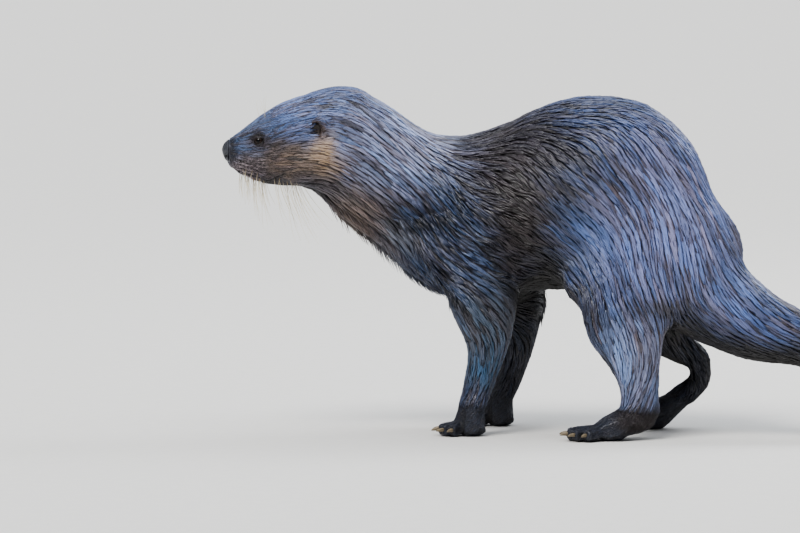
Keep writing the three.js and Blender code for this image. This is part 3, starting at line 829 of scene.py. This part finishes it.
# ---------- The coat ----------
# Locks per square metre; width, length and lift over the skin in millimetres; how strongly they gather;
# how far their tips stand out; the width of a clump in millimetres; how dark the painted shade in the grooves
# between clumps is.
DENSITY, WIDTH, LENGTH, LIFT, GATHER, STAND, CLUMP, GROOVE = range(8)
LOCK_KINDS = {
    "head": (600e3, 1.25, 12.0, 0.9, 0.6, 0.2, 2.8, 0.95),
    "face": (1250e3, 0.85, 4.6, 0.5, 0.4, 0.2, 1.7, 0.95),
    "trunk": (172e3, 2.15, 22.0, 1.9, 0.8, 0.3, 4.6, 0.85),
    "leg": (300e3, 1.5, 12.5, 1.1, 0.7, 0.3, 3.0, 0.7),
    "foot": (430e3, 0.85, 4.0, 0.3, 0.3, 0.1, 1.5, 0.5),
    "ear": (900e3, 0.9, 5.0, 0.5, 0.3, 0.3, 2.0, 0.6),
}
KIND_OF_NODES = {
    ("nose_pad", "jaw", "eye"): "face",
    "head": "head",
    "ear": "ear",
    ("neck", "chest", "loin", "rump", "tail"): "trunk",
    ("foreleg", "hindleg"): "leg",
    ("forefoot", "hindfoot"): "foot",
}
lock_values = np.array([LOCK_KINDS[listed(KIND_OF_NODES, name)] for name in part_names])[skin_part]
face_share = 1 - ramp(skin_points[:, 0] - NOSE_TIP[0], 48 * MM, 84 * MM)
lock_values = blended(lock_values, np.array(LOCK_KINDS["face"]), face_share)
trunk_kind, leg_kind = np.array(LOCK_KINDS["trunk"]), np.array(LOCK_KINDS["leg"])
on_leg = on_nodes(("foreleg", "hindleg"))
lock_values[on_leg] = blended(trunk_kind, leg_kind, ramp(leg_place[on_leg], 0.2, 1.3))
lock_values = net.smooth(lock_values, 16)
lock_values[:, CLUMP] *= 1 - 0.4 * wavy
lock_values[:, GROOVE] *= 1 - 0.75 * within(skin_points, SLEEK)
ragged = np.maximum(within(skin_points, RAGGED), within(skin_points, ARMPIT))
ragged *= 0.5 + 0.9 * ramp(-skin_normal[:, 2], -0.1, 0.6)


class Roots:
    """Random places on the skin, with the skin's values there."""

    def __init__(self, faces):
        self.share = random.dirichlet([1, 1, 1], len(faces))
        self.corners = skin_tri[faces]

    def value(self, values):
        flat = values.reshape(len(values), -1)
        out = np.einsum("ij,ijk->ik", self.share, flat[self.corners])
        return out.reshape((len(self.share),) + values.shape[1:])


def sample_roots(density):
    """The skin's triangles that hold a root, one for each root, without the bare ones."""
    a, b, c = (skin_points[skin_tri[:, i]] for i in range(3))
    area = 0.5 * norm(np.cross(b - a, c - a), axis=1)
    want = area * density[skin_tri].mean(axis=1)
    want[bare[skin_tri].any(axis=1)] = 0
    count = int(want.sum())
    places = (np.arange(count) + random.random(count)) / count
    return np.searchsorted(np.cumsum(want) / want.sum(), places).clip(0, len(want) - 1)


def marched(start, lengths, steps):
    """Paths over the skin that follow the lie of the coat: each step's points, normals and directions."""
    points, runs, normals = [start], [], []
    here = start
    for step in range(steps + 1):
        _, _, face = nearest(skin_tree, here)
        run = flow[skin_tri[face]].mean(axis=1)
        normal = unit(skin_normal[skin_tri[face]].mean(axis=1))
        run = unit(run - normal * dot(run, normal)[:, None])
        normals.append(normal)
        runs.append(run)
        if step < steps:
            ahead, _, _ = nearest(skin_tree, here + run * (lengths / steps)[:, None])
            points.append(ahead)
            here = ahead
    return np.stack(points, 1), np.stack(normals, 1), np.stack(runs, 1)


roots = Roots(sample_roots(lock_values[:, DENSITY] * (1.0)))
root_place = roots.value(skin_points)
values = roots.value(lock_values)
count = len(root_place)
width = values[:, WIDTH] * MM * random.uniform(0.7, 1.3, count)
length = values[:, LENGTH] * MM * random.uniform(0.75, 1.25, count)
stand = values[:, STAND] * random.uniform(0.3, 1.4, count)
STEPS = 3
pad_share = within(root_place, PAD, 0.7, 1.1)
length *= 1 - 0.55 * pad_share
path, path_normal, path_run = marched(root_place, length, STEPS)

# Neighbouring locks are drawn together into long clumps, as wet hair is, with grooves between them, where the
# locks lie lower and are painted darker, as painted shade.
CLUMP_STRETCH = 8.0
CANDIDATES = 20
clump_width = values[:, CLUMP] * MM
clump_area = CLUMP_STRETCH * clump_width**2
leaders = np.flatnonzero(random.random(count) < 1 / (values[:, DENSITY] * clump_area))
tree = KDTree(len(leaders))
for i, p in enumerate(root_place[leaders].tolist()):
    tree.insert(p, i)
tree.balance()
found = np.array([[hit[1] for hit in tree.find_n(p, CANDIDATES)] for p in root_place.tolist()])
across = np.cross(path_run, path_normal)
gap = root_place[leaders][found] - root_place[:, None]
gap_along = np.einsum("ijk,ik->ij", gap, path_run[:, 0])
gap_across = np.einsum("ijk,ik->ij", gap, across[:, 0])
measure = np.hypot(gap_across, gap_along / CLUMP_STRETCH)
order = np.argsort(measure, axis=1)[:, :2]
row = np.arange(count)
own = (row, order[:, 0])
first, second = measure[own], measure[row, order[:, 1]]
clump = found[own]
groove = values[:, GROOVE] * (1 - ramp((second - first) / clump_width, 0.0, 0.26))

MOST_PULL = 3 * MM
pull = np.outer(values[:, GATHER], [0.0, 0.25, 0.5, 0.7])
own_gap = np.clip(gap_across[own], -MOST_PULL, MOST_PULL)
path = path + across * (pull * own_gap[:, None])[:, :, None]

WARM_TINT = np.array([1.28, 0.95, 0.98])
clump_tone = random.uniform(0.70, 1.24, len(leaders))
# Painted shade: locks at the grooves between clumps are darker; clumps also differ in tone at random.
tone = clump_tone[clump] * random.uniform(0.88, 1.12, count) * (1 - 0.8 * groove)
tone *= 1 - 0.6 * pad_share * (random.random(count) < 0.35)
clump_lift = random.uniform(0.8, 1.1, len(leaders))
lift = values[:, LIFT] * MM * clump_lift[clump] * random.uniform(0.85, 1.1, count) * (1 - 0.6 * groove)
clump_stand = random.random(len(leaders)) ** 2.2
stand += 5.5 * roots.value(ragged) * clump_stand[clump] * (values[:, LENGTH] > 9)

# Clumps differ in warmth, and the grooves between them are browner.
lock_colour = roots.value(skin_colour)
warmth = np.clip(random.normal(0.04, 0.16, len(leaders)), -0.12, 0.6)[clump] + 0.5 * groove
lightness = lock_colour @ np.array([0.3, 0.5, 0.2])
lock_colour = np.clip(blended(lock_colour, np.outer(lightness, WARM_TINT), warmth), 0.002, 1)
root_uv = skin_uv[roots.corners[:, 0]]


# A lock's own shape: a triangular ring at each step, and a point at its tip.
FLOOR_CLEARANCE = 0.1 * MM
STAND_UNIT = 1.4 * MM
LOCK_HALF_WIDTHS = np.array([0.55, 1.0, 0.72]) * 0.5
RIDGE_HEIGHT = 0.3
LOCK_POINTS = 3 * STEPS + 1
UV_PATCH = 0.003


def lock_faces():
    """The triangles of one lock."""
    faces = [(0, 1, 2)]
    for i in range(STEPS):
        for j in range(3):
            a, b = 3 * i + j, 3 * i + (j + 1) % 3
            faces += [(a, a + 3, b + 3), (a, b + 3, b)] if i < STEPS - 1 else [(a, 3 * STEPS, b)]
    return np.array(faces)


def build_locks(name, which):
    """One closed, ridged, tapering solid for each lock."""
    side = np.cross(path_run[which], path_normal[which])
    wide, high = width[which, None], lift[which]
    rise = np.stack([np.full(len(which), -0.5 * MM), 0.75 * high, 0.95 * high, 0.6 * high], axis=1)
    rise += np.outer(stand[which] * STAND_UNIT, [0, 0.1, 0.42, 1.0])
    centre = path[which] + path_normal[which] * rise[:, :, None]
    places = []
    for i, half_width in enumerate(LOCK_HALF_WIDTHS):
        out = side[:, i] * wide * half_width
        ridge = path_normal[which, i] * wide * RIDGE_HEIGHT
        places += [centre[:, i] - out, centre[:, i] + out, centre[:, i] + ridge]
    places.append(centre[:, STEPS])
    points = np.stack(places, axis=1).reshape(-1, 3)
    points[:, 2] = np.maximum(points[:, 2], FLOOR_CLEARANCE)
    starts = np.arange(len(which)) * LOCK_POINTS
    faces = (lock_faces()[None] + starts[:, None, None]).reshape(-1, 3)
    obj = new_object(name, points, faces, coat_look)
    along = np.tile(np.array([0, 0, 0, 1, 1, 1, 2, 2, 2, 3]) / STEPS, len(which))
    across_at = np.tile([-1, 1, 0, -1, 1, 0, -0.8, 0.8, 0, 0], len(which))
    number = np.repeat(which, LOCK_POINTS)
    put_attribute(obj, "along", along)
    put_attribute(obj, "tone", tone[number])
    put_attribute(obj, "ridge", 1 - np.abs(across_at) ** 2)
    strand = np.stack([across_at * 2.8 + number * 7.3, along * 1.1 + number * 3.1, number * 0.0], axis=1)
    put_attribute(obj, "strand", strand, "FLOAT_VECTOR", "vector")
    put_colours_and_painted_light(obj, lock_colour[number])
    layer = obj.data.uv_layers.new(name="OFBake")
    corner = np.empty(len(obj.data.loops), np.int32)
    obj.data.loops.foreach_get("vertex_index", corner)
    uv = root_uv[number] + np.stack([across_at, 2 * along - 1], axis=1) * UV_PATCH / 2
    layer.data.foreach_set("uv", uv[corner].astype(np.float32).ravel())
    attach(obj, "root")


# The most locks in one piece, which keeps it under 200,000 triangles.
PIECE_LIMIT = 11500
root_part = part_names[skin_part[roots.corners[:, 0]]]
PIECES = {
    "head": ("head", "jaw", "ear", "eye", "nose"),
    "neck": "neck",
    "chest": "chest",
    "loin": "loin",
    "rump": "rump",
    "tail": "tail",
    "forelegs": "foreleg",
    "hindlegs": "hindleg",
    "feet": ("forefoot", "hindfoot"),
}
for group, starts in PIECES.items():
    which = np.flatnonzero([name.startswith(starts) for name in root_part])
    which = which[np.argsort(root_place[which, 0], kind="stable")]
    for i, chunk in enumerate(np.array_split(which, max(1, math.ceil(len(which) / PIECE_LIMIT)))):
        build_locks(f"coat_{group}_{i + 1}", chunk)


# ---------- Nose ----------
NOSTRIL_HALF = (2.9 * MM, 1.5 * MM)
NOSTRIL_DEPTH, NOSTRIL_RIM, NOSTRIL_BEND = 3.6 * MM, 0.45 * MM, 60
NOSE_VOXEL, NOSE_GROWTH, NOSE_GROOVE = 0.42 * MM, 0.25 * MM, 0.5 * MM


def nostril_measure(off, slit, out):
    """1 on the edge of a comma-shaped nostril, 0 in its middle."""
    reach = off @ slit
    over = off @ np.cross(slit, out) - NOSTRIL_BEND * reach**2
    behind = np.maximum(-(off @ out) - 4 * MM, 0)
    return np.hypot(reach / NOSTRIL_HALF[0], over / NOSTRIL_HALF[1]) + 50 * behind


def build_nose():
    points, faces = triangles_of(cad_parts["nose_pad"].data)
    mesh = remeshed(points, faces, NOSE_VOXEL)
    points, faces = triangles_of(mesh)
    bpy.data.meshes.remove(mesh)
    nose_net = Net(faces, len(points))
    points = nose_net.smooth(points, 14)
    normal = vertex_normals(points, faces)
    points = points + normal * NOSE_GROWTH
    nostril_shade = np.zeros(len(points))
    for sign in SIDES.values():
        start = (NOSTRIL[0], HEAD_Y + sign * 30 * MM, NOSTRIL[1])
        tree = BVHTree.FromPolygons(points.tolist(), faces.tolist())
        hit, hit_normal = tree.ray_cast(start, (0, -sign, 0))[:2]
        out = unit(np.array(hit_normal) + np.array([-0.35, 0, -0.1]))
        slit = np.array([0.80, 0.25 * sign, 0.55])
        slit = unit(slit - out * (slit @ out))
        q = nostril_measure(points - np.array(hit), slit, out)
        wing = np.exp(-(((q - 1.55) / 0.4) ** 2))
        hole = 1 - ramp(q, 0.45, 1.1)
        points = points + out * (NOSTRIL_RIM * wing - NOSTRIL_DEPTH * hole)[:, None]
        # Painted shade: the share of each point that is painted near-black inside a nostril.
        nostril_shade = np.maximum(nostril_shade, hole)
    groove = 1 - ramp(np.abs(points[:, 1] - HEAD_Y), 0.1 * MM, 0.9 * MM)
    groove *= points[:, 2] < NOSE_TIP[2]
    points = points - normal * (groove * NOSE_GROOVE)[:, None]
    nose = new_object("nose", points, faces, nose_material())
    put_attribute(nose, "nostril_shade", nostril_shade)
    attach(nose, "root")
    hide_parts("nose_pad")


build_nose()


def band(rings, sides):
    """The four-cornered faces between rings of points."""
    i, j = np.divmod(np.arange((rings - 1) * sides), sides)
    a, b = i * sides + j, i * sides + (j + 1) % sides
    return np.stack([a, b, b + sides, a + sides], axis=1)


# ---------- Eyes ----------
EYE_RINGS, EYE_TURNS = 27, 40
CORNEA_BULGE, CORNEA_EDGE = 0.035, 0.75
RING_UNIT = 1.1


def build_eye(side, material):
    """An eyeball with a slightly bulging cornea. Its ring value grows from the pupil outwards."""
    along, up, out = EYE_AXES[side]
    polar = np.repeat(math.pi * np.arange(EYE_RINGS) / (EYE_RINGS - 1), EYE_TURNS)
    turn = np.tile(2 * math.pi * np.arange(EYE_TURNS) / EYE_TURNS, EYE_RINGS)
    bulge = 1 + CORNEA_BULGE * np.maximum(0, 1 - polar / CORNEA_EDGE) ** 0.5
    flat = np.outer(np.cos(turn), along) + np.outer(np.sin(turn), up)
    way = np.outer(np.cos(polar), out) + np.sin(polar)[:, None] * flat
    points = EYES[side] + EYE_RADIUS * bulge[:, None] * way
    eye = new_object(f"eyeball_{side}", points, band(EYE_RINGS, EYE_TURNS)[:, [0, 3, 2, 1]], material)
    put_attribute(eye, "ring", polar / RING_UNIT)
    bm = bmesh.new()
    bm.from_mesh(eye.data)
    bmesh.ops.remove_doubles(bm, verts=bm.verts, dist=0.001 * MM)
    bmesh.ops.recalc_face_normals(bm, faces=bm.faces)
    bm.to_mesh(eye.data)
    bm.free()
    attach(eye, "root")
    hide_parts(f"eye_{side}")


eye_look = eye_material()
for side in SIDES:
    build_eye(side, eye_look)

# ---------- Claws ----------
claw_look = claw_material()
for name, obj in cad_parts.items():
    if name.startswith("claw"):
        obj.data.materials.clear()
        obj.data.materials.append(claw_look)
        obj.data.shade_smooth()
        obj.modifiers.new("welded", "WELD").merge_threshold = 0.02 * MM
        rounded = obj.modifiers.new("rounded", "SUBSURF")
        rounded.levels = rounded.render_levels = 2


# ---------- Whiskers ----------
TUBE_SIDES = 6


def tube(line, radii):
    """Points and faces of a closed tapering tube."""
    sides = TUBE_SIDES
    run = unit(np.gradient(line, axis=0))
    helper = np.array([0.1, 1.0, 0.2])
    first = unit(np.cross(run, helper))
    second = np.cross(run, first)
    turn = np.arange(sides) * 2 * math.pi / sides
    around = first[:, None] * np.cos(turn)[None, :, None] + second[:, None] * np.sin(turn)[None, :, None]
    rings = line[:, None] + around * radii[:, None, None]
    points = np.vstack([rings.reshape(-1, 3), line[:1], line[-1:]])
    faces = band(len(line), sides)[:, [0, 1, 2, 0, 2, 3]].reshape(-1, 3).tolist()
    end = (len(line) - 1) * sides
    for j in range(sides):
        k = (j + 1) % sides
        faces += [(len(points) - 2, k, j), (len(points) - 1, end + j, end + k)]
    return points, np.array(faces)


# Each group of whiskers: where its roots start and end, where its tips start and end, how many on a side,
# and how far the tips stand out sideways for their length.
WHISKERS = [
    ("front", (237, 173), (266, 180), (239, 196), (270, 208), 14, 0.25),
    ("long", (250, 177), (264, 180), (256, 224), (271, 226), 4, 0.3),
    ("cheek", (272, 177), (300, 182), (284, 224), (328, 226), 9, 0.3),
    ("longest", (284, 180), (296, 182), (300, 240), (322, 241), 3, 0.25),
    ("high", (238, 167), (258, 172), (236, 192), (262, 206), 4, 0.5),
    ("brow", (262, 119), (266, 118), (260, 103), (267, 101), 3, 0.3),
]
WHISKER_RADIUS, WHISKER_STEPS, WHISKER_BEND = 0.24 * MM, 12, 0.22


def skin_at(px, py, sign):
    """The place and the normal of the skin on one side of the head, where the photograph shows px, py."""
    x, z = spot(px, py)
    start = Vector((x, HEAD_Y + sign * 0.09, z))
    hit = skin_tree.ray_cast(start, Vector((0, -sign, 0)), 0.1)
    if hit[0] is None:
        hit = skin_tree.find_nearest(Vector((x, HEAD_Y + sign * 0.01, z)))
    return np.array(hit[0]), np.array(hit[1])


def build_whiskers(side):
    """All whiskers of one side, as one piece."""
    sign = SIDES[side]
    all_points, all_faces, all_along, start = [], [], [], 0
    for name, root_a, root_b, tip_a, tip_b, number, spread in WHISKERS:
        for i in range(number):
            f = (i + random.uniform(0.1, 0.9)) / number
            root_px = np.array(root_a) + (np.array(root_b) - root_a) * f + random.normal(0, 1.0, 2)
            tip_px = np.array(tip_a) + (np.array(tip_b) - tip_a) * f + random.normal(0, 3.5, 2)
            root, normal = skin_at(*root_px, sign)
            tip_x, tip_z = spot(*tip_px)
            reach = math.hypot(tip_x - root[0], tip_z - root[2])
            tip = np.array([tip_x, root[1] + sign * reach * spread * random.uniform(0.4, 1.1), tip_z])
            bend = (root + tip) / 2 + normal * reach * WHISKER_BEND + np.array([0, 0, 0.1 * reach])
            t = np.linspace(0, 1, WHISKER_STEPS)[:, None]
            line = (root - normal * 0.8 * MM) * (1 - t) ** 2 + bend * 2 * t * (1 - t) + tip * t**2
            radii = WHISKER_RADIUS * random.uniform(0.75, 1.1) * (1 - 0.82 * t[:, 0] ** 1.3)
            radii *= 0.6 if name == "brow" else 1.0
            points, faces = tube(line, radii)
            all_points.append(points)
            all_faces.append(faces + start)
            all_along.append(np.append(np.repeat(t[:, 0], TUBE_SIDES), [0, 1]))
            start += len(points)
    whiskers = new_object(f"whiskers_{side}", np.vstack(all_points), np.vstack(all_faces), whisker_look)
    put_attribute(whiskers, "along", np.concatenate(all_along))
    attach(whiskers, "root")


whisker_look = whisker_material()
for side in SIDES:
    build_whiskers(side)


# ---------- Stage, camera and light ----------
STAGE_RADIUS, STAGE_SIDES = 40.0, 48


def build_stage():
    """A wide flat floor."""
    turn = np.arange(STAGE_SIDES) * 2 * math.pi / STAGE_SIDES
    rim = np.stack([np.cos(turn), np.sin(turn), np.zeros(STAGE_SIDES)], axis=1) * STAGE_RADIUS
    faces = [(0, i + 1, (i + 1) % STAGE_SIDES + 1) for i in range(STAGE_SIDES)]
    new_object("stage", np.vstack([[0, 0, 0], rim]), faces, stage_material())


def placed(name, data, place, goal):
    """A camera or light that stands at a place and faces a goal."""
    obj = bpy.data.objects.new(name, data)
    bpy.context.collection.objects.link(obj)
    obj.location = place
    obj.rotation_euler = (Vector(goal) - Vector(place)).to_track_quat("-Z", "Y").to_euler()
    return obj


def add_light(kind, name, place, goal, power, colour, **settings):
    data = bpy.data.lights.new(name, kind)
    data.energy, data.color = power, colour
    for key, value in settings.items():
        setattr(data, key, value)
    placed(name, data, place, goal)


build_stage()
scene = bpy.context.scene
distance = LENS_MM / SENSOR_MM * VIEW_WIDTH
target_x, target_z = spot(*FRAME_CENTRE_PX)
target = Vector((target_x, HEAD_Y + TARGET_SHIFT[0], target_z + TARGET_SHIFT[1]))
camera_data = bpy.data.cameras.new("camera")
camera_data.lens, camera_data.sensor_width = LENS_MM, SENSOR_MM
place = target + distance * Vector((0, -math.cos(ELEVATION), math.sin(ELEVATION)))
scene.camera = placed("camera", camera_data, place, target)

add_light("SUN", "key", (-0.5, -0.85, 1.3), (0, 0, 0), 2.8, (1.0, 0.985, 0.965), angle=math.radians(30))
add_light("SUN", "sky", (0.25, 0.2, 1.2), (0, 0, 0), 2.0, (0.90, 0.95, 1.0), angle=math.radians(80))
add_light("AREA", "rim", (1.6, 1.3, 1.8), (0, 0, 0.15), 22, (0.94, 0.96, 1.0), shape="DISK", size=1.2)
world = bpy.data.worlds.new("studio")
world.use_nodes = True
background = world.node_tree.nodes["Background"].inputs
background["Color"].default_value = (0.88, 0.92, 1.0, 1)
background["Strength"].default_value = 0.32
scene.world = world
scene.view_settings.look = "AgX - Medium High Contrast"
